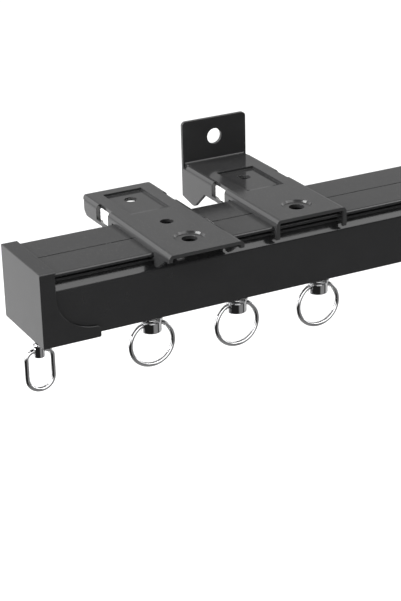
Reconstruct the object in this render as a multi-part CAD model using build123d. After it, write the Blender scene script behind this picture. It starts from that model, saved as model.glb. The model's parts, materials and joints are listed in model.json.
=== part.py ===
"""Curtain track with its end caps, two brackets and three carriers, in millimetres.

X runs along the track, Y goes back into the wall and Z is up.
The origin is the centre of the wall bracket's screw hole, on the face that meets the wall.
"""
import os
from math import cos, pi, radians, sin, sqrt, tan

from build123d import *

# Track: an extruded channel with a slot below and a hook groove under each top edge
TRACK_WIDTH = 33.5
TRACK_HEIGHT = 25.5
TRACK_WALL = 1.5
SLOT_WIDTH = 6.8
RIM_THICKNESS = 1.3
GROOVE_DEPTH = 3.55
GROOVE_HEIGHT = 1.7
BEAD_REACH = 1.25
BEAD_THICKNESS = 0.5
NOTCH_HEIGHT = 0.6
NOTCH_DEPTH = 0.25
SHOULDER_WIDTH = 2.55
CENTRE_LINE_WIDTH = 0.6
CENTRE_LINE_DEPTH = 0.35
TRACK_EDGE = 0.9
TRACK_CORNER = 0.4
TRACK_INSIDE = 0.5
BEAD_EDGE = 0.2
NOTCH_EDGE = 0.1
SHOULDER_BLEND = 1.4
SLOT_EDGE = 0.3

# Where the track lies from the wall bracket's screw hole
WALL_TO_TRACK = 57.85
HOLE_TO_PLATE = 9.2
LENGTH_OVER_CAPS = 300.0
LEFT_END = -107.6

# End caps
CAP_WALL = 2.0
CAP_SIDE_SKIRT = 0.75
CAP_TOP_SKIRT = 0.85
CAP_FLOOR = 1.55
CAP_FIT = 0.05
CAP_TOP_REACH = 6.0
CAP_SIDE_REACH = 5.7
CAP_SWEEP_REACH = 21.0
CAP_FLOOR_REACH = 22.0
CAP_FLOOR_CORNER = 0.9
CAP_SWEEP_TOP = 10.0
CAP_SWEEP_LOW = 23.4
CAP_EDGE = 0.6
CAP_INSIDE_TOP = 0.6
CAP_INSIDE_LOW = 0.3
LUG_WIDTH = 3.0
LUG_HEIGHT = 14.5
LUG_REACH = 10.0
LUG_FIT = 0.3

# Pressed brackets, with distances measured out from the wall and down from the top
SHEET = 1.4
BRACKET_WIDTH = 29.8
BEND_OUTSIDE = 2.0
CUT_EDGE = 0.25
SEAT_HEIGHT = 2.9
HOOK_FIT = 0.3
HOOK_REACH = 2.9
HOOK_DROP = 7.7
HOOK_LEG = 2.3
APRON_DROP = 7.2
APRON_BACK_GAP = 0.9
APRON_CORNER = 0.7
APRON_BEND = 1.2
FRONT_LIP_DROP = 3.0
FRONT_SWEEP = 6.0
FRONT_SWEEP_RADIUS = 4.0
CEILING_BRACKET_X = -49.0
CEILING_OVERHANG = 12.0
CEILING_BACK = 13.3
CEILING_CORNER = 2.0
CEILING_APRON_SLANT = 1.9
WALL_BRACKET_X = 0.0
WALL_LEG = 1.6
WALL_APRON_DROP = 14.6
WALL_APRON_RISE = 1.5
WALL_APRON_SLANT = (20.2, 11.6)
WALL_APRON_FOOT = 9.3
WALL_PLATE_WIDTH = 28.4
WALL_PLATE_RISE = 17.0
WALL_PLATE_CORNER = 1.6
FOLD_INSIDE = 0.5
RELIEF = 1.6
WALL_HOLE_RADIUS = 3.2
PLATE_HOLE_RADIUS = 2.5
RECESS_WIDTH = 16.1
RECESS_BACK = 17.8
RECESS_FRONT = 42.9
RECESS_RAMP = 3.4
RECESS_DEPTH = 1.0
RECESS_SIDE = 0.8
RECESS_HOLE = 25.4
MIDDLE_HOLE = 55.8
CEILING_DISH = 73.6
WALL_DISH = 65.4
DISH_RADIUS = 5.8
DISH_DEPTH = 0.8
DISH_SLOPE = 0.6
DISH_HOLE_RADIUS = 2.9
WINDOW_BACK = 26.5
WINDOW_FRONT = 36.6
WINDOW_SILL = 5.8

# Nylon latches
LATCH_FIT = 0.3
LATCH_TRACK_GAP = 1.3
LATCH_LENGTH = 16.4
LATCH_DROP = 9.5
LATCH_EDGE = 0.6
LATCH_CORNER = 0.8
LATCH_NOSE_REACH = 4.2
LATCH_EAR_LENGTH = 4.3
LATCH_EAR_PROUD = 1.3
LATCH_EAR_CORNER = 0.4
LATCH_BRIDGE = 8.4
LATCH_ARM = 7.2

# Carriers
CARRIER_X = (-57.8, -21.9, 14.0)
WHEEL_RADIUS = 9.3
TYRE_WIDTH = 6.2
WHEEL_OFFSET = 8.7
WHEEL_LIFT = 0.2
RACE_OUTSIDE = 6.9
RACE_INSIDE = 6.15
RACE_WIDTH = 4.6
RACE_FIT = 0.02
AXLE_RADIUS = 4.25
AXLE_LENGTH = 23.8
AXLE_DISH = 0.9
AXLE_RIM = 0.8
BALL_COUNT = 8
BALL_FIT = 0.04
CAGE_THICKNESS = 0.8
CAGE_WIDTH = 2.0
CAGE_SHIFT = 0.6
YOKE_ROD = 1.4
YOKE_LEG_X = 6.8
YOKE_FIT = 0.05
YOKE_FOOT_RADIUS = 2.35
YOKE_FOOT_HEIGHT = 5.55
YOKE_BAR = 2.1
YOKE_DROP = 17.3
SLEEVE_RADIUS = 2.35
SLEEVE_LENGTH = 7.0
SLEEVE_FIT = 0.05

# Swivel pins and rings
WIRE_RADIUS = 0.85
WIRE_FIT = 0.1
NECK_FIT = 0.05
HEAD_GAP = 0.1
PIN_EDGE = 0.3
CARRIER_SHANK_RADIUS = 2.0
CARRIER_HEAD_RADIUS = 3.85
CARRIER_HEAD_HEIGHT = 2.6
CARRIER_FLANGE_RADIUS = 4.35
CARRIER_FLANGE_GAP = 0.2
CARRIER_FLANGE_HEIGHT = 1.1
CARRIER_NECK_RADIUS = 2.5
CARRIER_NECK_HEIGHT = 0.5
CARRIER_COLLAR_RADIUS = 3.8
CARRIER_COLLAR_HEIGHT = 4.2
CARRIER_HOLE_DEPTH = 1.55
CARRIER_RING_RADIUS = 8.75
CARRIER_RING_DROP = 16.3
CARRIER_RING_CORNER = 2.75
END_SWIVEL_INSET = 5.0
END_NECK_RADIUS = 1.5
END_NECK_LENGTH = 5.6
END_HEAD_RADIUS = 2.8
END_HEAD_HEIGHT = 1.4
END_COLLAR_RADIUS = 2.0
END_COLLAR_HEIGHT = 4.9
END_RING_RADIUS = 5.1
END_RING_DROP = 15.45
END_RING_CORNER = 3.0

# Places that follow from the sizes above
PLATE_TOP = -HOLE_TO_PLATE
PLATE_UNDER = PLATE_TOP - SHEET
TRACK_TOP = PLATE_TOP - SEAT_HEIGHT
TRACK_BOTTOM = TRACK_TOP - TRACK_HEIGHT
TRACK_Y = -WALL_TO_TRACK
TRACK_BACK = WALL_TO_TRACK - TRACK_WIDTH / 2
TRACK_FRONT = WALL_TO_TRACK + TRACK_WIDTH / 2
TOE_TOP = TRACK_TOP - RIM_THICKNESS - HOOK_FIT
TOE_LOW = TRACK_TOP - RIM_THICKNESS - GROOVE_HEIGHT + HOOK_FIT
HOOK_BACK = TRACK_FRONT + HOOK_FIT
CEILING_FRONT = HOOK_BACK + CEILING_OVERHANG
WALL_FRONT = HOOK_BACK + WALL_LEG
RIGHT_END = LEFT_END + LENGTH_OVER_CAPS
AXLE_Z = TRACK_BOTTOM + TRACK_WALL + WHEEL_LIFT + WHEEL_RADIUS
YOKE_BOTTOM = AXLE_Z - YOKE_DROP
CARRIER_COLLAR_TOP = YOKE_BOTTOM - CARRIER_FLANGE_GAP - CARRIER_FLANGE_HEIGHT - CARRIER_NECK_HEIGHT
CARRIER_RING_Z = CARRIER_COLLAR_TOP - CARRIER_HOLE_DEPTH
END_COLLAR_TOP = TRACK_BOTTOM - CAP_FIT - CAP_FLOOR - END_NECK_LENGTH
END_RING_Z = END_COLLAR_TOP - END_COLLAR_HEIGHT / 2

STANDING = (Align.CENTER, Align.CENTER, Align.MIN)


def outline(points):
    """A flat face inside a closed line of (x, y, corner radius) points."""
    corners = [(Vector(x, y), radius) for x, y, radius in points]
    count = len(corners)
    runs = []
    for i, (here, radius) in enumerate(corners):
        to_last = (corners[i - 1][0] - here).normalized()
        to_next = (corners[(i + 1) % count][0] - here).normalized()
        if radius == 0:
            runs.append((here, None, here))
            continue
        half = radians(to_last.get_angle(to_next)) / 2
        reach = radius / tan(half)
        inward = (to_last + to_next).normalized()
        middle = here + inward * (radius / sin(half) - radius)
        runs.append((here + to_last * reach, middle, here + to_next * reach))
    edges = []
    for i, (start, middle, end) in enumerate(runs):
        if middle is not None:
            edges.append(Edge.make_three_point_arc(start, middle, end))
        following = runs[(i + 1) % count][0]
        if (following - end).length > 1e-6:
            edges.append(Edge.make_line(end, following))
    return make_face(edges)


def along_x(face, start, end):
    """Extrude a (Y, Z) face along X from start to end."""
    return extrude(Plane.YZ.offset(start) * face, amount=end - start, dir=(1, 0, 0))


def across(points, centre, half):
    """Extrude (distance from the wall, Z, radius) corners across X, half each way."""
    face = outline([(-distance, z, radius) for distance, z, radius in points])
    return along_x(face, centre - half, centre + half)


def turned(points, x, y):
    """Revolve (radius, Z, corner radius) points about an upright axis at (x, y)."""
    return Pos(x, y, 0) * revolve(Plane.XZ * outline(points), Axis.Z)


def on_y(radius, length):
    """A cylinder about the Y axis."""
    return Rot(90, 0, 0) * Cylinder(radius, length)


def track():
    """The extrusion, one closed section with its slot below."""
    half = TRACK_WIDTH / 2
    groove = half - GROOVE_DEPTH
    groove_low = -RIM_THICKNESS - GROOVE_HEIGHT
    bead = groove + BEAD_REACH
    bead_low = groove_low - BEAD_THICKNESS
    shoulder = half - SHOULDER_WIDTH
    notch = shoulder - NOTCH_DEPTH
    shoulder_top = bead_low - NOTCH_HEIGHT
    inner = half - TRACK_WALL
    inner_groove = groove - TRACK_WALL
    slope = shoulder + shoulder_top - TRACK_WALL * sqrt(2)
    floor = TRACK_WALL - TRACK_HEIGHT
    line = CENTRE_LINE_WIDTH / 2
    side = [
        (line, -CENTRE_LINE_DEPTH, 0),
        (line, 0, 0),
        (half, 0, TRACK_EDGE),
        (half, -RIM_THICKNESS, BEAD_EDGE),
        (groove, -RIM_THICKNESS, TRACK_CORNER),
        (groove, groove_low, TRACK_CORNER),
        (bead, groove_low, BEAD_EDGE),
        (bead, bead_low, BEAD_EDGE),
        (notch, bead_low, 0),
        (notch, shoulder_top, 0),
        (shoulder, shoulder_top, NOTCH_EDGE),
        (half, shoulder_top - SHOULDER_WIDTH, SHOULDER_BLEND),
        (half, -TRACK_HEIGHT, TRACK_CORNER),
        (SLOT_WIDTH / 2, -TRACK_HEIGHT, SLOT_EDGE),
        (SLOT_WIDTH / 2, floor, SLOT_EDGE),
        (inner, floor, TRACK_INSIDE),
        (inner, slope - inner, TRACK_INSIDE),
        (inner_groove, slope - inner_groove, TRACK_INSIDE),
        (inner_groove, -TRACK_WALL, TRACK_INSIDE),
    ]
    other = [(-u, v, radius) for u, v, radius in reversed(side)]
    section = Pos(TRACK_Y, TRACK_TOP) * outline(side + other)
    return along_x(section, LEFT_END + CAP_WALL, RIGHT_END - CAP_WALL)


def end_cap():
    """The left cap, with its outer face at X = 0."""
    inside = TRACK_WIDTH / 2 + CAP_FIT
    half = inside + CAP_SIDE_SKIRT
    top = CAP_FIT + CAP_TOP_SKIRT
    floor = -TRACK_HEIGHT - CAP_FIT
    low = floor - CAP_FLOOR
    centre = Pos(TRACK_Y, TRACK_TOP)
    left_low = (-half, low, CAP_EDGE)
    right_low = (half, low, CAP_EDGE)
    block = outline([left_low, right_low, (half, top, CAP_EDGE), (-half, top, CAP_EDGE)])
    body = along_x(centre * block, 0, CAP_FLOOR_REACH)

    sweep_top = top - CAP_SWEEP_TOP
    sweep_low = top - CAP_SWEEP_LOW
    sweep_width = CAP_SWEEP_REACH - CAP_SIDE_REACH
    sweep = EllipticalCenterArc(
        (CAP_SWEEP_REACH, sweep_top),
        sweep_width,
        sweep_top - sweep_low,
        start_angle=180,
        arc_size=90,
    )
    edge = Polyline(
        (CAP_SWEEP_REACH, sweep_low),
        (CAP_FLOOR_REACH, sweep_low - (CAP_FLOOR_REACH - CAP_SWEEP_REACH)),
        (CAP_FLOOR_REACH, low),
        (0, low),
        (0, top),
        (CAP_TOP_REACH, top),
        (CAP_TOP_REACH, CAP_FIT),
        (CAP_SIDE_REACH, CAP_FIT),
        (CAP_SIDE_REACH, sweep_top),
    )
    side = make_face(sweep.edges() + edge.edges())
    side = fillet(side.vertices().sort_by_distance((CAP_FLOOR_REACH, low))[:1], CAP_FLOOR_CORNER)
    body &= Pos(0, TRACK_Y, TRACK_TOP) * extrude(Plane.XZ * side, amount=half, both=True)

    space = outline([
        (-inside, floor, CAP_INSIDE_LOW),
        (inside, floor, CAP_INSIDE_LOW),
        (inside, CAP_FIT, CAP_INSIDE_TOP),
        (-inside, CAP_FIT, CAP_INSIDE_TOP),
    ])
    body -= along_x(centre * space, CAP_WALL, CAP_FLOOR_REACH)

    lug_middle = TRACK_WIDTH / 2 - TRACK_WALL - LUG_FIT - LUG_WIDTH / 2
    lug_floor = TRACK_BOTTOM + TRACK_WALL + LUG_FIT
    root = CAP_WALL / 2
    lug = Box(root + LUG_REACH, LUG_WIDTH, LUG_HEIGHT, align=(Align.MIN, Align.CENTER, Align.MIN))
    for middle in (-lug_middle, lug_middle):
        body += Pos(root, TRACK_Y + middle, lug_floor) * lug
    hole = Cylinder(END_NECK_RADIUS + NECK_FIT, 3 * CAP_FLOOR)
    return body - Pos(END_SWIVEL_INSET, TRACK_Y, TRACK_BOTTOM) * hole


def channel(centre, front, back, apron):
    """A bracket's folded blank, a flat top with both sides down, cut to the apron's side view."""
    half = BRACKET_WIDTH / 2
    inner = half - SHEET
    deep = -2 * WALL_APRON_DROP
    section = outline([
        (-half, deep, 0),
        (-half, 0, BEND_OUTSIDE),
        (half, 0, BEND_OUTSIDE),
        (half, deep, 0),
        (inner, deep, 0),
        (inner, -SHEET, BEND_OUTSIDE - SHEET),
        (-inner, -SHEET, BEND_OUTSIDE - SHEET),
        (-inner, deep, 0),
    ])
    placed = Plane.XZ.offset(back) * (Pos(centre, PLATE_TOP) * section)
    blank = extrude(placed, amount=front - back, dir=(0, -1, 0))
    return blank & across(apron, centre, half)


def apron_front(front):
    """A side's edge from the top of its front to the seat, with the hook in the front groove."""
    tip = HOOK_BACK - HOOK_REACH
    low = PLATE_TOP - HOOK_DROP
    lip = PLATE_TOP - FRONT_LIP_DROP
    leg = HOOK_BACK + HOOK_LEG
    if front > leg + FRONT_SWEEP:
        sweep = [(leg + FRONT_SWEEP, lip, FRONT_SWEEP_RADIUS), (leg, low, APRON_BEND)]
        start = [(front, PLATE_TOP, CUT_EDGE), (front, lip, APRON_CORNER), *sweep]
    else:
        start = [(front, PLATE_TOP, CUT_EDGE), (front, low, APRON_CORNER)]
    return start + [
        (HOOK_BACK, low, APRON_CORNER),
        (HOOK_BACK, TOE_LOW, 0),
        (tip, TOE_LOW, CUT_EDGE),
        (tip, TOE_TOP, CUT_EDGE),
        (HOOK_BACK, TOE_TOP, 0),
        (HOOK_BACK, TRACK_TOP, 0),
    ]


def pressings(body, centre, dish, holes):
    """Press the recess and the dish into a bracket's top, and punch its holes and windows."""

    def recess(drop, side):
        top = PLATE_TOP - drop
        floor = top - RECESS_DEPTH
        ramp = RECESS_FRONT - RECESS_RAMP
        back = RECESS_BACK - side
        corners = [(back, top, 0), (back, floor, 0), (ramp, floor, 0), (RECESS_FRONT, top, 0)]
        return across(corners, centre, RECESS_WIDTH / 2 + side)

    def dimple(drop, side):
        top = PLATE_TOP - drop
        floor = top - DISH_DEPTH
        rim = DISH_RADIUS + side
        corners = [(0, top, 0), (rim, top, 0), (rim - DISH_SLOPE, floor, 0), (0, floor, 0)]
        return turned(corners, centre, -dish)

    body = body + recess(SHEET, RECESS_SIDE) + dimple(SHEET, RECESS_SIDE)
    body = body - recess(0, 0) - dimple(0, 0)
    body -= Pos(centre, -dish, PLATE_TOP) * Cylinder(DISH_HOLE_RADIUS, 8 * SHEET)
    for distance in holes:
        body -= Pos(centre, -distance, PLATE_TOP) * Cylinder(PLATE_HOLE_RADIUS, 8 * SHEET)
    window = Box(2 * BEND_OUTSIDE, WINDOW_FRONT - WINDOW_BACK, 2 * WINDOW_SILL)
    middle = -(WINDOW_FRONT + WINDOW_BACK) / 2
    for reach in (-BRACKET_WIDTH / 2, BRACKET_WIDTH / 2):
        body -= Pos(centre + reach, middle, PLATE_TOP) * window
    return body


def ceiling_bracket():
    """The bracket that only screws to the ceiling, with a long front overhang."""
    apron_back = TRACK_BACK - APRON_BACK_GAP
    low = PLATE_TOP - APRON_DROP
    side_back = CEILING_BACK + CEILING_CORNER
    apron = apron_front(CEILING_FRONT) + [
        (apron_back, TRACK_TOP, 0),
        (apron_back, low, APRON_CORNER),
        (side_back + CEILING_APRON_SLANT, low, APRON_BEND),
        (side_back, low + CEILING_APRON_SLANT, APRON_BEND),
        (side_back, PLATE_UNDER, 0),
        (CEILING_BACK, PLATE_UNDER, 0),
        (CEILING_BACK, PLATE_TOP, CUT_EDGE),
    ]
    body = channel(CEILING_BRACKET_X, CEILING_FRONT, CEILING_BACK, apron)
    corner = Rectangle(2 * CEILING_CORNER, 2 * CEILING_CORNER, align=Align.MIN) - Circle(CEILING_CORNER)
    corner = extrude(corner, amount=2 * SHEET, both=True)
    reach = BRACKET_WIDTH / 2 - CEILING_CORNER
    for turn, side in ((0, reach), (90, -reach)):
        body -= Pos(CEILING_BRACKET_X + side, -side_back, PLATE_TOP) * Rot(0, 0, turn) * corner
    return pressings(body, CEILING_BRACKET_X, CEILING_DISH, (RECESS_HOLE, MIDDLE_HOLE))


def wall_bracket():
    """The bracket with an upright plate across its back, for a wall or a ceiling."""
    apron_back = TRACK_BACK - APRON_BACK_GAP
    low = PLATE_TOP - APRON_DROP
    deep = PLATE_TOP - WALL_APRON_DROP
    slant_front, slant_back = WALL_APRON_SLANT
    fold = SHEET + FOLD_INSIDE
    foot = deep + WALL_APRON_RISE
    apron = apron_front(WALL_FRONT) + [
        (apron_back, TRACK_TOP, 0),
        (apron_back, low, APRON_CORNER),
        (slant_front, low, APRON_BEND),
        (slant_back, deep, APRON_BEND),
        (WALL_APRON_FOOT, deep, APRON_BEND),
        (SHEET, foot, 0),
        (SHEET, PLATE_UNDER, 0),
        (fold, PLATE_UNDER, 0),
        (fold, PLATE_TOP, 0),
    ]
    body = channel(WALL_BRACKET_X, WALL_FRONT, SHEET, apron)
    upright = [
        (fold, PLATE_UNDER, 0),
        (SHEET, PLATE_UNDER, 0),
        (SHEET, foot, 0),
        (0, foot, 0),
        (0, PLATE_TOP + WALL_PLATE_RISE, 0),
        (SHEET, PLATE_TOP + WALL_PLATE_RISE, 0),
        (SHEET, PLATE_TOP, FOLD_INSIDE),
        (fold, PLATE_TOP, 0),
    ]
    plate = across(upright, WALL_BRACKET_X, WALL_PLATE_WIDTH / 2)
    body += fillet(plate.edges().filter_by(Axis.Y).group_by(Axis.Z)[-1], WALL_PLATE_CORNER)
    notch = Box(2 * RELIEF, 2 * RELIEF, 2 * RELIEF)
    for reach in (-BRACKET_WIDTH / 2, BRACKET_WIDTH / 2):
        body -= Pos(WALL_BRACKET_X + reach, -SHEET - RELIEF, PLATE_TOP) * notch
    body = pressings(body, WALL_BRACKET_X, WALL_DISH, (RECESS_HOLE,))
    return body - Pos(WALL_BRACKET_X, 0, 0) * on_y(WALL_HOLE_RADIUS, 4 * SHEET)


def latch(centre):
    """The nylon slider between a bracket's sides, hooked under the track's back edge.

    It is open behind its bridge, so that a screwdriver reaches the hole above.
    """
    front = TRACK_BACK - LATCH_TRACK_GAP
    back = front - LATCH_LENGTH
    nose = front + LATCH_NOSE_REACH
    ceiling = PLATE_UNDER - LATCH_FIT
    low = PLATE_TOP - LATCH_DROP
    half = BRACKET_WIDTH / 2 - SHEET - LATCH_FIT
    side = [
        (back, ceiling, 0),
        (back, low, LATCH_CORNER),
        (front, low, LATCH_CORNER),
        (front, TOE_LOW, 0),
        (nose, TOE_LOW, CUT_EDGE),
        (nose, TOE_TOP, CUT_EDGE),
        (front, TOE_TOP, 0),
        (front, ceiling, 0),
    ]
    body = across(side, centre, half)
    rails = body.edges().filter_by(Axis.Y).group_by(Axis.Z)[-1]
    body = fillet(rails, LATCH_EDGE)
    relief = RECESS_WIDTH / 2 + RECESS_SIDE + LATCH_FIT
    body -= Pos(centre, -front, ceiling) * Box(2 * relief, 3 * LATCH_LENGTH, 2 * RECESS_DEPTH)
    way = Box(2 * (half - LATCH_ARM), 2 * (LATCH_LENGTH - LATCH_BRIDGE), 4 * LATCH_DROP)
    body -= Pos(centre, -back, ceiling) * way
    ear_front = WINDOW_FRONT - LATCH_FIT
    ear_back = ear_front - LATCH_EAR_LENGTH
    ear_low = PLATE_TOP - WINDOW_SILL + LATCH_FIT
    ear = [
        (ear_front, ceiling, LATCH_EAR_CORNER),
        (ear_back, ceiling, LATCH_EAR_CORNER),
        (ear_back, ear_low, LATCH_EAR_CORNER),
        (ear_front, ear_low, LATCH_EAR_CORNER),
    ]
    for reach in (-half, half):
        body += across(ear, centre + reach, LATCH_EAR_PROUD)
    return body


def tyre(x, y):
    """A round-sided tyre about the axle."""
    tread = TYRE_WIDTH / 2
    torus = Rot(90, 0, 0) * Torus(WHEEL_RADIUS - tread, tread)
    return Pos(x, y, AXLE_Z) * (torus - on_y(RACE_OUTSIDE + RACE_FIT, 2 * TYRE_WIDTH))


def race(x, y):
    """The bearing's outer ring."""
    return Pos(x, y, AXLE_Z) * (on_y(RACE_OUTSIDE, RACE_WIDTH) - on_y(RACE_INSIDE, 2 * RACE_WIDTH))


def ball_row():
    """The balls' places about the axle, their pitch radius and a ball's radius."""
    pitch = (RACE_INSIDE + AXLE_RADIUS) / 2
    ball = (RACE_INSIDE - AXLE_RADIUS) / 2 - BALL_FIT
    turns = [2 * pi * (i + 0.5) / BALL_COUNT for i in range(BALL_COUNT)]
    return [(pitch * cos(turn), pitch * sin(turn)) for turn in turns], pitch, ball


def balls(x, y):
    """One row of balls."""
    places, _, ball = ball_row()
    return Compound([Pos(x + dx, y, AXLE_Z + dz) * Sphere(ball) for dx, dz in places])


def cage(x, y, inward):
    """The ring that spaces the balls, open towards the wheel's outer face."""
    places, pitch, ball = ball_row()
    ring_wall = CAGE_THICKNESS / 2
    body = on_y(pitch + ring_wall, CAGE_WIDTH) - on_y(pitch - ring_wall, 2 * CAGE_WIDTH)
    body = Pos(0, inward * CAGE_SHIFT, 0) * body
    for dx, dz in places:
        body -= Plane(origin=(dx, 0, dz), z_dir=(dx, 0, dz)) * Cylinder(ball + BALL_FIT, 3 * CAGE_THICKNESS)
    return Pos(x, y, AXLE_Z) * body


def axle(x):
    """The turned axle, with a dished face at each end."""
    body = on_y(AXLE_RADIUS, AXLE_LENGTH)
    for end in (-AXLE_LENGTH / 2, AXLE_LENGTH / 2):
        body -= Pos(0, end, 0) * on_y(AXLE_RADIUS - AXLE_RIM, 2 * AXLE_DISH)
    return Pos(x, TRACK_Y, AXLE_Z) * body


def yoke(x):
    """The bent rod over the axle, with its feet and the bar between them."""
    arch = AXLE_RADIUS + YOKE_FIT + YOKE_ROD
    foot_top = YOKE_BOTTOM + YOKE_FOOT_HEIGHT
    sleeve_top = foot_top + SLEEVE_LENGTH + 2 * SLEEVE_FIT
    up = Vector(0, 0, 1)
    feet = [Vector(sign * YOKE_LEG_X, 0, foot_top - YOKE_FOOT_HEIGHT / 2) for sign in (-1, 1)]
    knees = [Vector(sign * YOKE_LEG_X, 0, sleeve_top) for sign in (-1, 1)]
    hips = [Vector(sign * arch, 0, AXLE_Z) for sign in (-1, 1)]
    path = Wire([
        Edge.make_line(feet[0], knees[0]),
        Edge.make_spline([knees[0], hips[0]], tangents=[up, up]),
        Edge.make_three_point_arc(hips[0], Vector(0, 0, AXLE_Z + arch), hips[1]),
        Edge.make_spline([hips[1], knees[1]], tangents=[-up, -up]),
        Edge.make_line(knees[1], feet[1]),
    ])
    body = sweep(Plane(origin=feet[0], z_dir=up) * Circle(YOKE_ROD), path=path)
    for foot_x in (-YOKE_LEG_X, YOKE_LEG_X):
        body += Pos(foot_x, 0, YOKE_BOTTOM) * Cylinder(YOKE_FOOT_RADIUS, YOKE_FOOT_HEIGHT, align=STANDING)
    body += Pos(0, 0, YOKE_BOTTOM) * Box(2 * YOKE_LEG_X, 2 * YOKE_FOOT_RADIUS, YOKE_BAR, align=STANDING)
    body -= Pos(0, 0, YOKE_BOTTOM) * Cylinder(CARRIER_SHANK_RADIUS + NECK_FIT, 4 * YOKE_BAR)
    return Pos(x, TRACK_Y, 0) * body


def leg_sleeves(x):
    """The two nylon sleeves on a yoke's legs, where they pass the slot."""
    sleeve = Cylinder(SLEEVE_RADIUS, SLEEVE_LENGTH, align=STANDING)
    sleeve -= Cylinder(YOKE_ROD + SLEEVE_FIT, SLEEVE_LENGTH, align=STANDING)
    z = YOKE_BOTTOM + YOKE_FOOT_HEIGHT + SLEEVE_FIT
    return Compound([Pos(x + leg, TRACK_Y, z) * sleeve for leg in (-YOKE_LEG_X, YOKE_LEG_X)])


def pin(x, steps, ring_z):
    """A pin turned from (radius, Z, corner radius) steps, drilled across for a ring's wire."""
    low = steps[0][1]
    top = steps[-1][1]
    body = turned([(0, low, 0), *steps, (0, top, 0)], x, TRACK_Y)
    reach = 3 * max(radius for radius, _, _ in steps)
    return body - Pos(x, TRACK_Y, ring_z) * Rot(0, 90, 0) * Cylinder(WIRE_RADIUS + WIRE_FIT, reach)


def carrier_swivel(x):
    """The domed pin that turns in a yoke, with its flange and collar below."""
    head_low = YOKE_BOTTOM + YOKE_BAR + HEAD_GAP
    head_top = head_low + CARRIER_HEAD_HEIGHT
    flange_top = YOKE_BOTTOM - CARRIER_FLANGE_GAP
    flange_low = flange_top - CARRIER_FLANGE_HEIGHT
    collar_low = CARRIER_COLLAR_TOP - CARRIER_COLLAR_HEIGHT
    steps = [
        (CARRIER_COLLAR_RADIUS, collar_low, PIN_EDGE),
        (CARRIER_COLLAR_RADIUS, CARRIER_COLLAR_TOP, PIN_EDGE),
        (CARRIER_NECK_RADIUS, CARRIER_COLLAR_TOP, 0),
        (CARRIER_NECK_RADIUS, flange_low, 0),
        (CARRIER_FLANGE_RADIUS, flange_low, PIN_EDGE),
        (CARRIER_FLANGE_RADIUS, flange_top, PIN_EDGE),
        (CARRIER_SHANK_RADIUS, flange_top, 0),
        (CARRIER_SHANK_RADIUS, head_low, 0),
        (CARRIER_HEAD_RADIUS, head_low, PIN_EDGE),
        (CARRIER_HEAD_RADIUS, head_top, CARRIER_HEAD_HEIGHT - 2 * PIN_EDGE),
    ]
    return pin(x, steps, CARRIER_RING_Z)


def end_swivel(x):
    """The flat-headed pin that turns in an end cap's floor, with its collar below."""
    head_low = TRACK_BOTTOM - CAP_FIT + HEAD_GAP
    head_top = head_low + END_HEAD_HEIGHT
    steps = [
        (END_COLLAR_RADIUS, END_COLLAR_TOP - END_COLLAR_HEIGHT, PIN_EDGE),
        (END_COLLAR_RADIUS, END_COLLAR_TOP, PIN_EDGE),
        (END_NECK_RADIUS, END_COLLAR_TOP, 0),
        (END_NECK_RADIUS, head_low, 0),
        (END_HEAD_RADIUS, head_low, 0),
        (END_HEAD_RADIUS, head_top, PIN_EDGE),
    ]
    return pin(x, steps, END_RING_Z)


def ring(x, z, radius, drop, corner):
    """A closed wire ring, with a straight run at height z through its collar."""
    depth = drop - radius
    reach = radius - corner
    rise = depth - corner
    round_sided = rise < reach
    bend_x = sqrt(reach**2 - rise**2) if round_sided else reach
    centre = Vector(0, 0, -depth)
    bend = Vector(bend_x, 0, -corner)
    outward = (bend - centre).normalized() if round_sided else Vector(1, 0, 0)
    top = Vector(bend_x, 0, 0)
    side = bend + outward * corner
    bend_middle = bend + (outward + Vector(0, 0, 1)).normalized() * corner
    low_start = centre + outward * radius
    low_middle = centre + (outward - Vector(0, 0, 1)).normalized() * radius
    bottom = centre - Vector(0, 0, radius)
    half = [Edge.make_line(Vector(0, 0, 0), top), Edge.make_three_point_arc(top, bend_middle, side)]
    if not round_sided:
        half.append(Edge.make_line(side, low_start))
    half.append(Edge.make_three_point_arc(low_start, low_middle, bottom))
    path = Wire(half + [edge.mirror(Plane.YZ) for edge in half])
    section = Plane(origin=(0, 0, -drop), z_dir=(1, 0, 0)) * Circle(WIRE_RADIUS)
    return Pos(x, TRACK_Y, z) * sweep(section, path=path)


def build():
    """Every node of the object by name."""
    nodes = {"track": track()}
    left_cap = end_cap()
    nodes["end_cap_left"] = Pos(LEFT_END, 0, 0) * left_cap
    nodes["end_cap_right"] = Pos(RIGHT_END, 0, 0) * mirror(left_cap, about=Plane.YZ)
    ends = {"left": LEFT_END + END_SWIVEL_INSET, "right": RIGHT_END - END_SWIVEL_INSET}
    for name, x in ends.items():
        nodes[f"end_swivel_{name}"] = end_swivel(x)
        nodes[f"end_ring_{name}"] = ring(x, END_RING_Z, END_RING_RADIUS, END_RING_DROP, END_RING_CORNER)
    nodes["ceiling_bracket"] = ceiling_bracket()
    nodes["wall_bracket"] = wall_bracket()
    nodes["ceiling_latch"] = latch(CEILING_BRACKET_X)
    nodes["wall_latch"] = latch(WALL_BRACKET_X)
    for number, x in enumerate(CARRIER_X, start=1):
        name = f"carrier_{number}"
        nodes[f"{name}_yoke"] = yoke(x)
        nodes[f"{name}_leg_sleeves"] = leg_sleeves(x)
        nodes[f"{name}_axle"] = axle(x)
        for side, inward in (("front", 1), ("back", -1)):
            y = TRACK_Y - inward * WHEEL_OFFSET
            nodes[f"{name}_{side}_tyre"] = tyre(x, y)
            nodes[f"{name}_{side}_race"] = race(x, y)
            nodes[f"{name}_{side}_cage"] = cage(x, y, inward)
            nodes[f"{name}_{side}_balls"] = balls(x, y)
        nodes[f"{name}_swivel"] = carrier_swivel(x)
        shape = (CARRIER_RING_RADIUS, CARRIER_RING_DROP, CARRIER_RING_CORNER)
        nodes[f"{name}_ring"] = ring(x, CARRIER_RING_Z, *shape)
    return nodes


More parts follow.
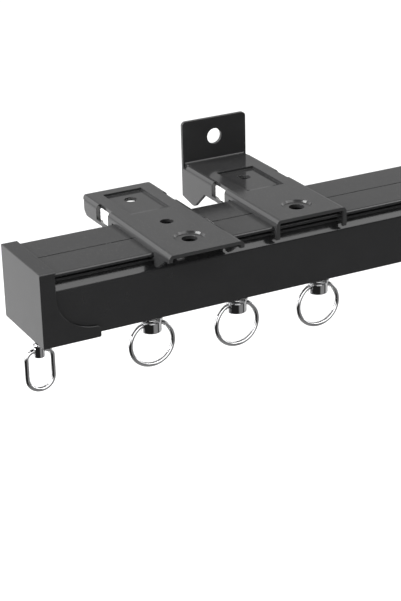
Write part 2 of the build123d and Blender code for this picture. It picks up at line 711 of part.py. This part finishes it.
os.makedirs("parts", exist_ok=True)
for node, shape in build().items():
    export_step(shape, f"parts/{node}.step")
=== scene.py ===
"""Looks of a curtain track with its end caps, brackets, latches and ring carriers.

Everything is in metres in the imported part's frame: X runs along the track to the right, Y goes back
into the wall and Z is up, from the centre of the wall bracket's screw hole on the face of the wall.
"""

import json
import logging
import math
from collections.abc import Iterable
from dataclasses import dataclass, field
from enum import Enum

import bmesh
import bpy
from mathutils import Matrix, Vector

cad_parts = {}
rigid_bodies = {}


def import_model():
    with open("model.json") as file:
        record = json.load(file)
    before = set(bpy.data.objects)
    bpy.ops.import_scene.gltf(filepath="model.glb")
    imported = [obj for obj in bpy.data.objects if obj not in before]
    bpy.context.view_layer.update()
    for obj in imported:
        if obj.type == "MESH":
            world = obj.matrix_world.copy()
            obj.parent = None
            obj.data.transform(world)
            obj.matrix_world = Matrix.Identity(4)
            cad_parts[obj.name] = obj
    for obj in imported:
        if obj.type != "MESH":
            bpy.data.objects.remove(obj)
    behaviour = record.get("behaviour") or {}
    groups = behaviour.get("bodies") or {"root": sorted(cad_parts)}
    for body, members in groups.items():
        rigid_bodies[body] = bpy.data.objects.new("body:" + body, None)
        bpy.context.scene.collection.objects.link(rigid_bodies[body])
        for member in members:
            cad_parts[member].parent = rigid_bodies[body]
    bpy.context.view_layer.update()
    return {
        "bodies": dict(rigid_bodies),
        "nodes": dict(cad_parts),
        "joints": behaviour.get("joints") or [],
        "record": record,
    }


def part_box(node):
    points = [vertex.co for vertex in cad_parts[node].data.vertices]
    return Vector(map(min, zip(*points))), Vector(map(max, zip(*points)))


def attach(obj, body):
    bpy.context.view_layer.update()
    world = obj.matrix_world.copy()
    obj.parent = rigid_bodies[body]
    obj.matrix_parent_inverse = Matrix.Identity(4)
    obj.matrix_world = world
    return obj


MM = 0.001
CARRIER_NUMBERS = (1, 2, 3)
WHITE = (1.0, 1.0, 1.0, 1.0)
FROM_NONE_TO_ALL = (0.0, 1.0)
BOTH_WAYS = (-1.0, 1.0)
NOISE_MIDDLE = 0.5

Colour = tuple[float, float, float]
log = logging.getLogger("curtain_track")


class Side(Enum):
    """An end of the track, as seen from the room."""

    LEFT = "left"
    RIGHT = "right"


class Mounting(Enum):
    """What a bracket is screwed to."""

    CEILING = "ceiling"
    WALL = "wall"


class Wheel(Enum):
    """A carrier's wheel, by the side of the yoke that it is on."""

    FRONT = "front"
    BACK = "back"


# Node trees -------------------------------------------------------------------------------------


class Graph:
    """A node tree that is being wired, of a material, a world or a node group."""

    def __init__(self, tree: bpy.types.NodeTree) -> None:
        """Takes over a tree and empties it.

        Args:
            tree: the node tree to wire.
        """
        self.tree = tree
        tree.nodes.clear()

    def add(self, kind: str, inputs: dict | None = None, **settings: object) -> bpy.types.Node:
        """Adds a node.

        Args:
            kind: Blender's name of the node's type, without "ShaderNode".
            inputs: for each input, by name or number, a value to set or an output socket to link.
            settings: properties of the node itself.

        Returns:
            The new node.
        """
        node = self.tree.nodes.new(kind if kind.startswith("NodeGroup") else f"ShaderNode{kind}")
        for name, value in settings.items():
            setattr(node, name, value)
        for name, value in (inputs or {}).items():
            if isinstance(value, bpy.types.NodeSocket):
                self.tree.links.new(value, node.inputs[name])
            else:
                node.inputs[name].default_value = value
        return node

    def math(self, operation: str, *values: object, clamp: bool = False) -> bpy.types.NodeSocket:
        """Adds a Math node.

        Args:
            operation: the node's operation.
            values: a number or a socket for each of its inputs.
            clamp: whether the result is kept between 0 and 1.

        Returns:
            The result's socket.
        """
        node = self.add("Math", dict(enumerate(values)), operation=operation, use_clamp=clamp)
        return node.outputs[0]

    def fit(self, value: object, source: tuple, target: tuple, smooth: bool = False) -> bpy.types.NodeSocket:
        """Maps a value from one range to another, held at the ends.

        Args:
            value: the socket to map.
            source: the range it is read in.
            target: the range it comes out in.
            smooth: whether it eases in and out.

        Returns:
            The result's socket.
        """
        kind = "SMOOTHSTEP" if smooth else "LINEAR"
        ends = {1: source[0], 2: source[1], 3: target[0], 4: target[1]}
        return self.add("MapRange", {0: value, **ends}, interpolation_type=kind).outputs[0]

    def blend(self, factor: object, first: object, second: object) -> bpy.types.NodeSocket:
        """Mixes two colours.

        Args:
            factor: how much of the second colour shows.
            first: the colour at factor 0.
            second: the colour at factor 1.

        Returns:
            The mixed colour's socket.
        """
        pair = {0: factor, 6: with_alpha(first), 7: with_alpha(second)}
        return self.add("Mix", pair, data_type="RGBA").outputs[2]

    def noise(self, scale: object, detail: float, stretch: object = None) -> bpy.types.NodeSocket:
        """Adds noise that is fixed to the piece.

        Args:
            scale: cells to the metre.
            detail: how many finer layers it has.
            stretch: a socket with how many times longer a cell is along each axis.

        Returns:
            The noise's socket, from 0 to 1.
        """
        place = self.add("TexCoord").outputs["Object"]
        if stretch is not None:
            place = self.add("VectorMath", {0: place, 1: stretch}, operation="DIVIDE").outputs[0]
        inputs = {"Vector": place, "Scale": scale, "Detail": detail}
        return self.add("TexNoise", inputs).outputs[0]


def with_alpha(colour: object) -> object:
    """Gives a plain colour its alpha, and leaves a socket as it is.

    Args:
        colour: red, green and blue, or a colour's socket.

    Returns:
        Red, green, blue and alpha, or the same socket.
    """
    return colour if isinstance(colour, bpy.types.NodeSocket) else (*colour, 1.0)


class Effect:
    """A surface effect that several finishes place, each with its own values."""

    name = "effect"
    inputs: dict[str, tuple[str, object]] = {}
    outputs: dict[str, str] = {}

    def wire(self, graph: Graph, given: bpy.types.Node, result: bpy.types.Node) -> None:
        """Wires the inside of the group.

        Args:
            graph: the group's tree.
            given: the node with the group's inputs.
            result: the node with the group's outputs.
        """
        raise NotImplementedError

    def group(self) -> bpy.types.NodeTree:
        """Returns the effect's node group, which is built the first time it is asked for."""
        tree = bpy.data.node_groups.get(self.name)
        if tree is None:
            tree = bpy.data.node_groups.new(self.name, "ShaderNodeTree")
            for label, (kind, value) in self.inputs.items():
                socket = tree.interface.new_socket(label, in_out="INPUT", socket_type=f"NodeSocket{kind}")
                socket.default_value = value
            for label, kind in self.outputs.items():
                tree.interface.new_socket(label, in_out="OUTPUT", socket_type=f"NodeSocket{kind}")
            graph = Graph(tree)
            self.wire(graph, graph.add("NodeGroupInput"), graph.add("NodeGroupOutput"))
        return tree

    def place(self, graph: Graph, **values: object) -> bpy.types.Node:
        """Places the effect in a material.

        Args:
            graph: the material's tree.
            values: what this material gives for the group's inputs.

        Returns:
            The placed group node.
        """
        node = graph.add("Group", node_tree=self.group())
        for label, value in values.items():
            if isinstance(value, bpy.types.NodeSocket):
                graph.tree.links.new(value, node.inputs[label])
            else:
                node.inputs[label].default_value = value
        return node


class Grain(Effect):
    """The fine texture of a surface, and the slow drift of its gloss."""

    name = "surface_grain"
    inputs = {"Pitch": ("Float", 0.5 * MM), "Stretch": ("Vector", (1.0, 1.0, 1.0))}
    outputs = {"Height": "Float", "Drift": "Float"}
    fine_detail = 3.0
    drift_pitches = 14.0
    drift_detail = 2.0
    drift_noise = (0.3, 0.7)

    def wire(self, graph: Graph, given: bpy.types.Node, result: bpy.types.Node) -> None:
        """Wires one noise at the pitch and one many pitches wide.

        Args:
            graph: the group's tree.
            given: the node with the group's inputs.
            result: the node with the group's outputs.
        """
        scale = graph.math("DIVIDE", 1.0, given.outputs["Pitch"])
        height = graph.noise(scale, self.fine_detail, given.outputs["Stretch"])
        slow = graph.math("DIVIDE", scale, self.drift_pitches)
        drift = graph.fit(graph.noise(slow, self.drift_detail), self.drift_noise, BOTH_WAYS)
        graph.tree.links.new(height, result.inputs["Height"])
        graph.tree.links.new(drift, result.inputs["Drift"])


class EdgeWearAndHighlight(Effect):
    """Edges that are rounded for light, and a broken line of another colour along them: partly wear where the
    finish is thin, partly a painted highlight.
    """

    name = "edge_wear_and_highlight"
    inputs = {"Radius": ("Float", 0.2 * MM), "Pitch": ("Float", 1.5 * MM)}
    outputs = {"Mask": "Float", "Normal": "Vector"}
    turn = (0.02, 0.16)
    patch_noise = (0.35, 0.65)
    patch_strength = (0.2, 1.0)
    patch_detail = 3.0
    bevel_samples = 4

    def wire(self, graph: Graph, given: bpy.types.Node, result: bpy.types.Node) -> None:
        """Wires the rounded normal, and the mask where it leaves the surface's own, which places the edge
        wear and the painted highlight.

        Args:
            graph: the group's tree.
            given: the node with the group's inputs.
            result: the node with the group's outputs.
        """
        bevel = graph.add("Bevel", {"Radius": given.outputs["Radius"]}, samples=self.bevel_samples)
        rounded = bevel.outputs[0]
        own = graph.add("NewGeometry").outputs["Normal"]
        along = graph.add("VectorMath", {0: rounded, 1: own}, operation="DOT_PRODUCT").outputs["Value"]
        leaves = graph.fit(graph.math("SUBTRACT", 1.0, along), self.turn, FROM_NONE_TO_ALL, smooth=True)
        scale = graph.math("DIVIDE", 1.0, given.outputs["Pitch"])
        patches = graph.fit(graph.noise(scale, self.patch_detail), self.patch_noise, self.patch_strength)
        graph.tree.links.new(graph.math("MULTIPLY", leaves, patches), result.inputs["Mask"])
        graph.tree.links.new(rounded, result.inputs["Normal"])


class ToneDrift(Effect):
    """A colour that is a little lighter and darker in broad soft patches."""

    name = "tone_drift"
    inputs = {
        "Colour": ("Color", (0.5, 0.5, 0.5, 1.0)),
        "Amount": ("Float", 0.1),
        "Pitch": ("Float", 8.0 * MM),
    }
    outputs = {"Colour": "Color"}
    patch_detail = 4.0
    patch_noise = (0.25, 0.75)

    def wire(self, graph: Graph, given: bpy.types.Node, result: bpy.types.Node) -> None:
        """Wires a noise that scales the colour about its own value.

        Args:
            graph: the group's tree.
            given: the node with the group's inputs.
            result: the node with the group's outputs.
        """
        scale = graph.math("DIVIDE", 1.0, given.outputs["Pitch"])
        swing = graph.fit(graph.noise(scale, self.patch_detail), self.patch_noise, BOTH_WAYS)
        factor = graph.math("MULTIPLY_ADD", swing, given.outputs["Amount"], 1.0)
        inputs = {0: given.outputs["Colour"], 3: factor}
        scaled = graph.add("VectorMath", inputs, operation="SCALE").outputs[0]
        graph.tree.links.new(scaled, result.inputs["Colour"])


class Scratches(Effect):
    """Hairline scratches in two directions, in patches, from handling and packing."""

    name = "hairline_scratches"
    inputs = {"Pitch": ("Float", 1.2 * MM), "Amount": ("Float", 0.5)}
    outputs = {"Mask": "Float"}
    directions = ((0.3, 0.2, 0.9), (1.1, 0.5, -0.6))
    length_to_width = (45.0, 1.0, 1.0)
    line = (0.0, 0.012)
    line_detail = 1.0
    patch_pitches = 9.0
    patch_detail = 2.0
    patch_noise = (0.5, 0.62)

    def wire(self, graph: Graph, given: bpy.types.Node, result: bpy.types.Node) -> None:
        """Wires one set of lines for each direction.

        Args:
            graph: the group's tree.
            given: the node with the group's inputs.
            result: the node with the group's outputs.
        """
        place = graph.add("TexCoord").outputs["Object"]
        scale = graph.math("DIVIDE", 1.0, given.outputs["Pitch"])
        total = None
        for turn in self.directions:
            turned = graph.add("Mapping", {"Vector": place, "Rotation": turn}).outputs[0]
            inputs = {0: turned, 1: self.length_to_width}
            long = graph.add("VectorMath", inputs, operation="DIVIDE").outputs[0]
            inputs = {"Vector": long, "Scale": scale, "Detail": self.line_detail}
            lines = graph.add("TexNoise", inputs).outputs[0]
            off_line = graph.math("ABSOLUTE", graph.math("SUBTRACT", lines, NOISE_MIDDLE))
            on_line = graph.fit(off_line, self.line, FROM_NONE_TO_ALL[::-1])
            total = on_line if total is None else graph.math("MAXIMUM", total, on_line)
        broad = graph.math("DIVIDE", scale, self.patch_pitches)
        patches = graph.fit(graph.noise(broad, self.patch_detail), self.patch_noise, FROM_NONE_TO_ALL)
        shown = graph.math("MULTIPLY", graph.math("MULTIPLY", total, patches), given.outputs["Amount"])
        graph.tree.links.new(shown, result.inputs["Mask"])


class SettledDust(Effect):
    """Fine dust on what faces up."""

    name = "settled_dust"
    inputs = {"Amount": ("Float", 0.3), "Pitch": ("Float", 0.35 * MM)}
    outputs = {"Mask": "Float"}
    facing_up = (0.7, 1.0)
    speck_detail = 1.0
    speck_noise = (0.66, 0.74)

    def wire(self, graph: Graph, given: bpy.types.Node, result: bpy.types.Node) -> None:
        """Wires specks that show only where the surface faces up.

        Args:
            graph: the group's tree.
            given: the node with the group's inputs.
            result: the node with the group's outputs.
        """
        facing = graph.add("SeparateXYZ", {0: graph.add("NewGeometry").outputs["Normal"]}).outputs["Z"]
        upward = graph.fit(facing, self.facing_up, FROM_NONE_TO_ALL)
        scale = graph.math("DIVIDE", 1.0, given.outputs["Pitch"])
        specks = graph.fit(graph.noise(scale, self.speck_detail), self.speck_noise, FROM_NONE_TO_ALL)
        shown = graph.math("MULTIPLY", graph.math("MULTIPLY", upward, specks), given.outputs["Amount"])
        graph.tree.links.new(shown, result.inputs["Mask"])


GRAIN, EDGE_WEAR_AND_HIGHLIGHT, TONE_DRIFT = Grain(), EdgeWearAndHighlight(), ToneDrift()
SCRATCHES, SETTLED_DUST = Scratches(), SettledDust()


# Finishes ---------------------------------------------------------------------------------------


@dataclass(frozen=True)
class Finish:
    """One surface finish of the track's parts, and the material that shows it."""

    name: str
    colour: Colour
    roughness: float
    metallic: float = 0.0
    gloss_drift: float = 0.03
    grain_pitch: float = 0.4 * MM
    grain_stretch: tuple[float, float, float] = (1.0, 1.0, 1.0)
    grain_depth: float = 0.002 * MM
    tone_drift: float = 0.08
    tone_pitch: float = 9.0 * MM
    edge_radius: float = 0.2 * MM
    # The next two values give the colour and the strength of the line along the edges: partly worn finish,
    # partly a painted highlight.
    edge_highlight_and_wear_colour: Colour = (0.1, 0.1, 0.1)
    edge_wear_and_highlight: float = 0.3
    scratches: float = 0.3
    scratch_gloss: float = 0.12
    scratch_relief: float = -0.5
    dust: float = 0.15
    dust_colour: Colour = (0.35, 0.34, 0.32)
    dust_gloss: float = 0.4
    coat: float = 0.0
    coat_roughness: float = 0.05

    def material(self) -> bpy.types.Material:
        """Returns the finish's material, which is built the first time it is asked for."""
        name = f"{self.name}_finish"
        return bpy.data.materials.get(name) or self.build(name)

    def build(self, name: str) -> bpy.types.Material:
        """Builds the material from the shared effects.

        Args:
            name: the material's name.

        Returns:
            The new material.
        """
        material = bpy.data.materials.new(name)
        material.use_nodes = True
        graph = Graph(material.node_tree)
        grain = GRAIN.place(graph, Pitch=self.grain_pitch, Stretch=self.grain_stretch)
        edge = EDGE_WEAR_AND_HIGHLIGHT.place(graph, Radius=self.edge_radius)
        scratches = SCRATCHES.place(graph, Amount=self.scratches).outputs["Mask"]
        dust = SETTLED_DUST.place(graph, Amount=self.dust).outputs["Mask"]
        shader = graph.add(
            "BsdfPrincipled",
            {
                "Base Color": self.wire_colour(graph, edge.outputs["Mask"], dust),
                "Roughness": self.wire_roughness(graph, grain.outputs["Drift"], scratches, dust),
                "Metallic": self.metallic,
                "Coat Weight": self.coat,
                "Coat Roughness": self.coat_roughness,
                "Normal": self.wire_relief(graph, grain.outputs["Height"], scratches, edge.outputs["Normal"]),
            },
        )
        graph.add("OutputMaterial", {"Surface": shader.outputs[0]})
        material.diffuse_color = (*self.colour, 1.0)
        return material

    def wire_colour(self, graph: Graph, wear_and_highlight_mask: object, dust: object) -> bpy.types.NodeSocket:
        """Wires the colour, changed along the edges by wear and by a painted highlight, and greyed by dust.

        Args:
            graph: the material's tree.
            wear_and_highlight_mask: the socket of the edge mask, which places the wear and the painted
                highlight.
            dust: the dust mask's socket.

        Returns:
            The colour's socket.
        """
        tone = TONE_DRIFT.place(
            graph, Colour=(*self.colour, 1.0), Amount=self.tone_drift, Pitch=self.tone_pitch
        ).outputs["Colour"]
        # Along the edges the colour moves towards the edge colour: partly wear, partly a painted highlight.
        with_wear_and_highlight = graph.blend(graph.math("MULTIPLY", wear_and_highlight_mask, self.edge_wear_and_highlight), tone, self.edge_highlight_and_wear_colour)
        return graph.blend(dust, with_wear_and_highlight, self.dust_colour)

    def wire_roughness(
        self, graph: Graph, drift: object, scratches: object, dust: object
    ) -> bpy.types.NodeSocket:
        """Wires the roughness, which drifts and rises under scratches and dust.

        Args:
            graph: the material's tree.
            drift: the grain's slow drift.
            scratches: the scratch mask's socket.
            dust: the dust mask's socket.

        Returns:
            The roughness's socket.
        """
        drifted = graph.math("MULTIPLY_ADD", drift, self.gloss_drift, self.roughness)
        scratched = graph.math("MULTIPLY_ADD", scratches, self.scratch_gloss, drifted)
        return graph.math("MULTIPLY_ADD", dust, self.dust_gloss, scratched, clamp=True)

    def wire_relief(
        self, graph: Graph, height: object, scratches: object, normal: object
    ) -> bpy.types.NodeSocket:
        """Wires the grain and the scratches as relief on the rounded surface.

        Args:
            graph: the material's tree.
            height: the grain's height.
            scratches: the scratch mask's socket.
            normal: the rounded normal.

        Returns:
            The normal's socket.
        """
        cut = graph.math("MULTIPLY_ADD", scratches, self.scratch_relief, height)
        inputs = {"Strength": 1.0, "Distance": self.grain_depth, "Height": cut, "Normal": normal}
        return graph.add("Bump", inputs).outputs[0]


# In each finish below, the edge colour is partly worn finish and partly a painted highlight along the edges.
TRACK_BLACK = Finish(
    "track_black",
    colour=(0.014, 0.014, 0.0145),
    roughness=0.14,
    grain_pitch=0.16 * MM,
    grain_stretch=(60.0, 1.0, 1.0),
    grain_depth=0.0006 * MM,
    edge_radius=0.25 * MM,
    edge_highlight_and_wear_colour=(0.08, 0.08, 0.082),
    scratches=0.15,
)
BRACKET_BLACK = Finish(
    "bracket_black",
    colour=(0.024, 0.024, 0.0245),
    roughness=0.12,
    grain_pitch=0.9 * MM,
    grain_depth=0.002 * MM,
    edge_radius=0.2 * MM,
    edge_highlight_and_wear_colour=(0.05, 0.05, 0.052),
    edge_wear_and_highlight=0.2,
)
CAP_BLACK = Finish(
    "cap_black",
    colour=(0.013, 0.013, 0.0135),
    roughness=0.2,
    grain_pitch=0.3 * MM,
    grain_depth=0.002 * MM,
    edge_radius=0.6 * MM,
    edge_highlight_and_wear_colour=(0.03, 0.03, 0.03),
    scratches=0.2,
)
WHITE_NYLON = Finish(
    "white_nylon",
    colour=(0.86, 0.86, 0.85),
    roughness=0.42,
    grain_pitch=0.25 * MM,
    tone_drift=0.03,
    edge_highlight_and_wear_colour=(0.85, 0.85, 0.84),
    dust=0.1,
)
BLUE_NYLON = Finish(
    "blue_nylon",
    colour=(0.014, 0.012, 0.11),
    roughness=0.3,
    grain_pitch=0.5 * MM,
    tone_drift=0.16,
    tone_pitch=1.2 * MM,
    edge_highlight_and_wear_colour=(0.03, 0.03, 0.16),
    coat=0.3,
    coat_roughness=0.2,
)
CHROME = Finish(
    "chrome",
    colour=(0.9, 0.9, 0.91),
    roughness=0.05,
    metallic=1.0,
    gloss_drift=0.02,
    grain_depth=0.0004 * MM,
    tone_drift=0.02,
    edge_radius=0.1 * MM,
    edge_highlight_and_wear_colour=(0.8, 0.8, 0.8),
    scratches=0.25,
    scratch_gloss=0.06,
    dust=0.05,
)
SATIN_STEEL = Finish(
    "satin_steel",
    colour=(0.56, 0.56, 0.55),
    roughness=0.26,
    metallic=1.0,
    grain_pitch=0.14 * MM,
    grain_stretch=(1.0, 1.0, 6.0),
    grain_depth=0.001 * MM,
    edge_highlight_and_wear_colour=(0.7, 0.7, 0.7),
)
BEARING_STEEL = Finish(
    "bearing_steel",
    colour=(0.6, 0.6, 0.6),
    roughness=0.14,
    metallic=1.0,
    grain_depth=0.0005 * MM,
    edge_radius=0.08 * MM,
    edge_highlight_and_wear_colour=(0.7, 0.7, 0.7),
)


# Building tools ---------------------------------------------------------------------------------


def lathe(name: str, profile: Iterable[tuple[float, float]], centre: Vector, steps: int) -> bpy.types.Object:
    """Turns a closed outline round a line that runs along Y.

    Args:
        name: the new object's name.
        profile: the outline's points, as distances from the line and along it.
        centre: where the line's zero is, in the part's frame.
        steps: how many facets go round.

    Returns:
        The new object, linked to the scene.
    """
    outline = list(profile)
    mesh = bmesh.new()
    rows = []
    for step in range(steps):
        angle = 2 * math.pi * step / steps
        rows.append(
            [
                mesh.verts.new(centre + Vector((radius * math.cos(angle), along, radius * math.sin(angle))))
                for radius, along in outline
            ]
        )
    for row, following in zip(rows, rows[1:] + rows[:1]):
        for here in range(len(outline)):
            onward = (here + 1) % len(outline)
            face = mesh.faces.new((row[here], row[onward], following[onward], following[here]))
            face.smooth = True
    bmesh.ops.recalc_face_normals(mesh, faces=mesh.faces)
    data = bpy.data.meshes.new(name)
    mesh.to_mesh(data)
    mesh.free()
    piece = bpy.data.objects.new(name, data)
    bpy.context.scene.collection.objects.link(piece)
    return piece


def middle(node: str) -> Vector:
    """Finds the centre of a CAD node's box at rest.

    Args:
        node: the node's name.

    Returns:
        The centre, in the part's frame.
    """
    low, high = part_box(node)
    return (Vector(low) + Vector(high)) / 2


# Sub-assemblies ---------------------------------------------------------------------------------


@dataclass
class Assembly:
    """A sub-assembly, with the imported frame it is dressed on."""

    frame: dict

    def finishes(self) -> dict[str, Finish]:
        """Returns the finish of each CAD node in the sub-assembly, by the node's name."""
        raise NotImplementedError

    def build(self) -> None:
        """Builds the pieces that the CAD nodes leave to the looks."""

    def dress(self) -> None:
        """Gives every CAD node of the sub-assembly its finish, and builds the rest."""
        for node, finish in self.finishes().items():
            for slot in self.frame["nodes"][node].material_slots:
                slot.link = "OBJECT"
                slot.material = finish.material()
            log.info("%s: %s", node, finish.name)
        self.build()

    def add(self, piece: bpy.types.Object, body: str, finish: Finish) -> None:
        """Fixes a new piece to a body in a finish.

        Args:
            piece: the piece, in place at rest.
            body: the CAD body that carries it.
            finish: what it is finished in, which is also its material slot's name.
        """
        piece.data.materials.append(finish.material())
        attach(piece, body)
        log.info("%s on %s: %s", piece.name, body, finish.name)


@dataclass
class Track(Assembly):
    """The extruded track."""

    def finishes(self) -> dict[str, Finish]:
        """Returns the track's finish."""
        return {"track": TRACK_BLACK}


@dataclass
class EndFitting(Assembly):
    """An end cap with the swivel and the ring that hang from it."""

    side: Side

    def finishes(self) -> dict[str, Finish]:
        """Returns the finishes of the cap, its swivel and its ring."""
        end = self.side.value
        return {f"end_cap_{end}": CAP_BLACK, f"end_swivel_{end}": CHROME, f"end_ring_{end}": CHROME}


@dataclass
class TrackBracket(Assembly):
    """A pressed bracket with its nylon latch."""

    mounting: Mounting

    def finishes(self) -> dict[str, Finish]:
        """Returns the finishes of the pressing and its latch."""
        kind = self.mounting.value
        return {f"{kind}_bracket": BRACKET_BLACK, f"{kind}_latch": WHITE_NYLON}


@dataclass
class Carrier(Assembly):
    """A carrier: a yoke on two ball-bearing wheels, with a swivel and a ring below the track."""

    number: int
    seam_width: float = 0.14 * MM
    seam_height: float = 0.05 * MM
    seam_steps: int = 96

    def finishes(self) -> dict[str, Finish]:
        """Returns the finishes of the carrier's parts."""
        name = f"carrier_{self.number}"
        parts = {
            f"{name}_yoke": SATIN_STEEL,
            f"{name}_leg_sleeves": WHITE_NYLON,
            f"{name}_axle": SATIN_STEEL,
            f"{name}_swivel": CHROME,
            f"{name}_ring": CHROME,
        }
        for wheel in Wheel:
            parts |= {
                f"{name}_{wheel.value}_tyre": BLUE_NYLON,
                f"{name}_{wheel.value}_race": BEARING_STEEL,
                f"{name}_{wheel.value}_cage": BEARING_STEEL,
                f"{name}_{wheel.value}_balls": BEARING_STEEL,
            }
        return parts

    def build(self) -> None:
        """Adds the mould seam round each tyre."""
        for wheel in Wheel:
            tyre = f"carrier_{self.number}_{wheel.value}_tyre"
            low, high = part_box(tyre)
            radius = (high[2] - low[2]) / 2
            half = self.seam_width / 2
            profile = [
                (radius - self.seam_height, -half),
                (radius - self.seam_height, half),
                (radius, half / 2),
                (radius, -half / 2),
            ]
            seam = lathe(f"{tyre}_seam", profile, middle(tyre), self.seam_steps)
            self.add(seam, f"carrier_{self.number}_{wheel.value}_wheel", BLUE_NYLON)


# Studio -----------------------------------------------------------------------------------------


@dataclass(frozen=True)
class Panel:
    """A soft bright area of the room, as the gloss of a surface mirrors it."""

    name: str
    towards: tuple[float, float, float]
    edge: tuple[float, float]
    level: float


@dataclass
class Studio:
    """The pale floor, the soft light and the camera."""

    floor_drop: float = 0.6
    floor_size: float = 12.0
    floor_colour: Colour = (0.86, 0.86, 0.86)
    floor_roughness: float = 0.9
    floor_glow: float = 0.2
    daylight: float = 0.95
    dim_room: float = 0.015
    panels: tuple[Panel, ...] = (
        Panel("back_wall", (0.4, 0.82, 0.45), (0.8, 0.92), 0.49),
        Panel("overhead", (0.42, -0.4, 0.8), (0.85, 0.95), 3.2),
        Panel("high_left", (-0.38, 0.82, 0.42), (0.88, 0.98), 1.5),
        Panel("low_left", (-0.42, 0.82, -0.395), (0.88, 0.97), 1.15),
        Panel("low_front", (0.42, -0.82, -0.395), (0.85, 0.97), 0.2),
        Panel("low_right", (0.95, 0.3, -0.35), (0.75, 0.95), 0.5),
        Panel("below", (0.0, 0.0, -1.0), (0.7, 0.9), 0.25),
        Panel("high_right", (1.0, 0.0, 0.5), (0.8, 0.9), 1.7),
        Panel("front_wall", (-0.2, -0.85, 0.3), (0.8, 0.9), 1.7),
        Panel("left", (-1.0, 0.1, 0.2), (0.85, 0.93), 1.7),
    )
    lamps: list[tuple[str, tuple[float, float, float], float, float]] = field(
        default_factory=lambda: [
            ("overhead_softbox", (-0.1, 0.25, 1.1), 1.2, 5.0),
            ("side_softbox", (-1.1, 0.1, 0.55), 0.9, 30.0),
        ]
    )
    camera_place: tuple[float, float, float] = (-0.3061, -0.5795, 0.2099)
    camera_azimuth: float = -27.276
    camera_elevation: float = 23.263
    camera_roll: float = 1.4296
    lens: float = 102.7
    sensor_width: float = 36.0
    nearest_seen: float = 0.01
    farthest_seen: float = 50.0

    def set_up(self) -> None:
        """Sets up the view transform, the surroundings, the lamps, the floor and the camera."""
        bpy.context.scene.view_settings.view_transform = "Standard"
        self.surroundings()
        for name, place, size, power in self.lamps:
            self.softbox(name, Vector(place), size, power)
        self.floor()
        self.camera()

    def surroundings(self) -> None:
        """Wires the world: white to the camera, even light, and soft panels in reflections."""
        world = bpy.data.worlds.new("studio")
        bpy.context.scene.world = world
        world.use_nodes = True
        graph = Graph(world.node_tree)
        way = graph.add("TexCoord").outputs["Generated"]
        reflected = self.dim_room
        for panel in self.panels:
            inputs = {0: way, 1: Vector(panel.towards).normalized()}
            along = graph.add("VectorMath", inputs, operation="DOT_PRODUCT").outputs["Value"]
            shown = graph.fit(along, panel.edge, (0.0, panel.level), smooth=True)
            reflected = graph.math("ADD", reflected, shown)
        rays = graph.add("LightPath").outputs
        glossy = graph.math("MAXIMUM", rays["Is Glossy Ray"], rays["Is Transmission Ray"])
        lit = graph.add("Mix", {0: glossy, 2: self.daylight, 3: reflected}, data_type="FLOAT").outputs[0]
        shown = graph.add("Mix", {0: rays["Is Camera Ray"], 2: lit, 3: 1.0}, data_type="FLOAT").outputs[0]
        background = graph.add("Background", {"Color": WHITE, "Strength": shown})
        graph.add("OutputWorld", {"Surface": background.outputs[0]})

    def softbox(self, name: str, place: Vector, size: float, power: float) -> None:
        """Adds a large square lamp that faces the object.

        Args:
            name: the lamp's name.
            place: where it hangs.
            size: the length of its side.
            power: its power in watts.
        """
        data = bpy.data.lights.new(name, "AREA")
        data.size, data.energy = size, power
        lamp = bpy.data.objects.new(name, data)
        lamp.location = place
        lamp.rotation_euler = (-place).to_track_quat("-Z", "Y").to_euler()
        lamp.visible_camera = False
        bpy.context.scene.collection.objects.link(lamp)

    def floor(self) -> None:
        """Lays the pale floor, which keeps the object's shadow and shows no underside."""
        material = bpy.data.materials.new("pale_floor")
        material.use_nodes = True
        graph = Graph(material.node_tree)
        pale = graph.add(
            "BsdfPrincipled",
            {
                "Base Color": (*self.floor_colour, 1.0),
                "Roughness": self.floor_roughness,
                "Emission Color": WHITE,
                "Emission Strength": self.floor_glow,
            },
        )
        clear = graph.add("BsdfTransparent")
        rays = graph.add("LightPath").outputs
        glossy = graph.math("MAXIMUM", rays["Is Glossy Ray"], rays["Is Transmission Ray"])
        hidden = graph.math("MAXIMUM", glossy, graph.add("NewGeometry").outputs["Backfacing"])
        mixed = graph.add("MixShader", {0: hidden, 1: pale.outputs[0], 2: clear.outputs[0]})
        graph.add("OutputMaterial", {"Surface": mixed.outputs[0]})
        mesh = bmesh.new()
        bmesh.ops.create_grid(mesh, x_segments=1, y_segments=1, size=self.floor_size / 2)
        data = bpy.data.meshes.new("floor")
        mesh.to_mesh(data)
        mesh.free()
        data.materials.append(material)
        floor = bpy.data.objects.new("floor", data)
        floor.location.z = -self.floor_drop
        bpy.context.scene.collection.objects.link(floor)

    def camera(self) -> None:
        """Places the camera at the photograph's viewpoint."""
        azimuth, elevation = math.radians(self.camera_azimuth), math.radians(self.camera_elevation)
        roll = math.radians(self.camera_roll)
        forward = Vector(
            (
                -math.sin(azimuth) * math.cos(elevation),
                math.cos(azimuth) * math.cos(elevation),
                -math.sin(elevation),
            )
        )
        level = Vector((math.cos(azimuth), math.sin(azimuth), 0.0))
        down = forward.cross(level)
        right = math.cos(roll) * level + math.sin(roll) * down
        lower = -math.sin(roll) * level + math.cos(roll) * down
        data = bpy.data.cameras.new("viewpoint")
        data.lens, data.sensor_width = self.lens, self.sensor_width
        data.clip_start, data.clip_end = self.nearest_seen, self.farthest_seen
        camera = bpy.data.objects.new("viewpoint", data)
        turn = Matrix((right, -lower, -forward)).transposed().to_4x4()
        camera.matrix_world = Matrix.Translation(self.camera_place) @ turn
        bpy.context.scene.collection.objects.link(camera)
        bpy.context.scene.camera = camera


def main() -> None:
    """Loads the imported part, dresses each sub-assembly and sets up the studio."""
    logging.basicConfig(level=logging.INFO, format="%(name)s: %(message)s")
    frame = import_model()
    Studio().set_up()
    assemblies = [
        Track(frame),
        *(EndFitting(frame, side) for side in Side),
        *(TrackBracket(frame, mounting) for mounting in Mounting),
        *(Carrier(frame, number) for number in CARRIER_NUMBERS),
    ]
    for assembly in assemblies:
        assembly.dress()


if __name__ == "__main__":
    main()
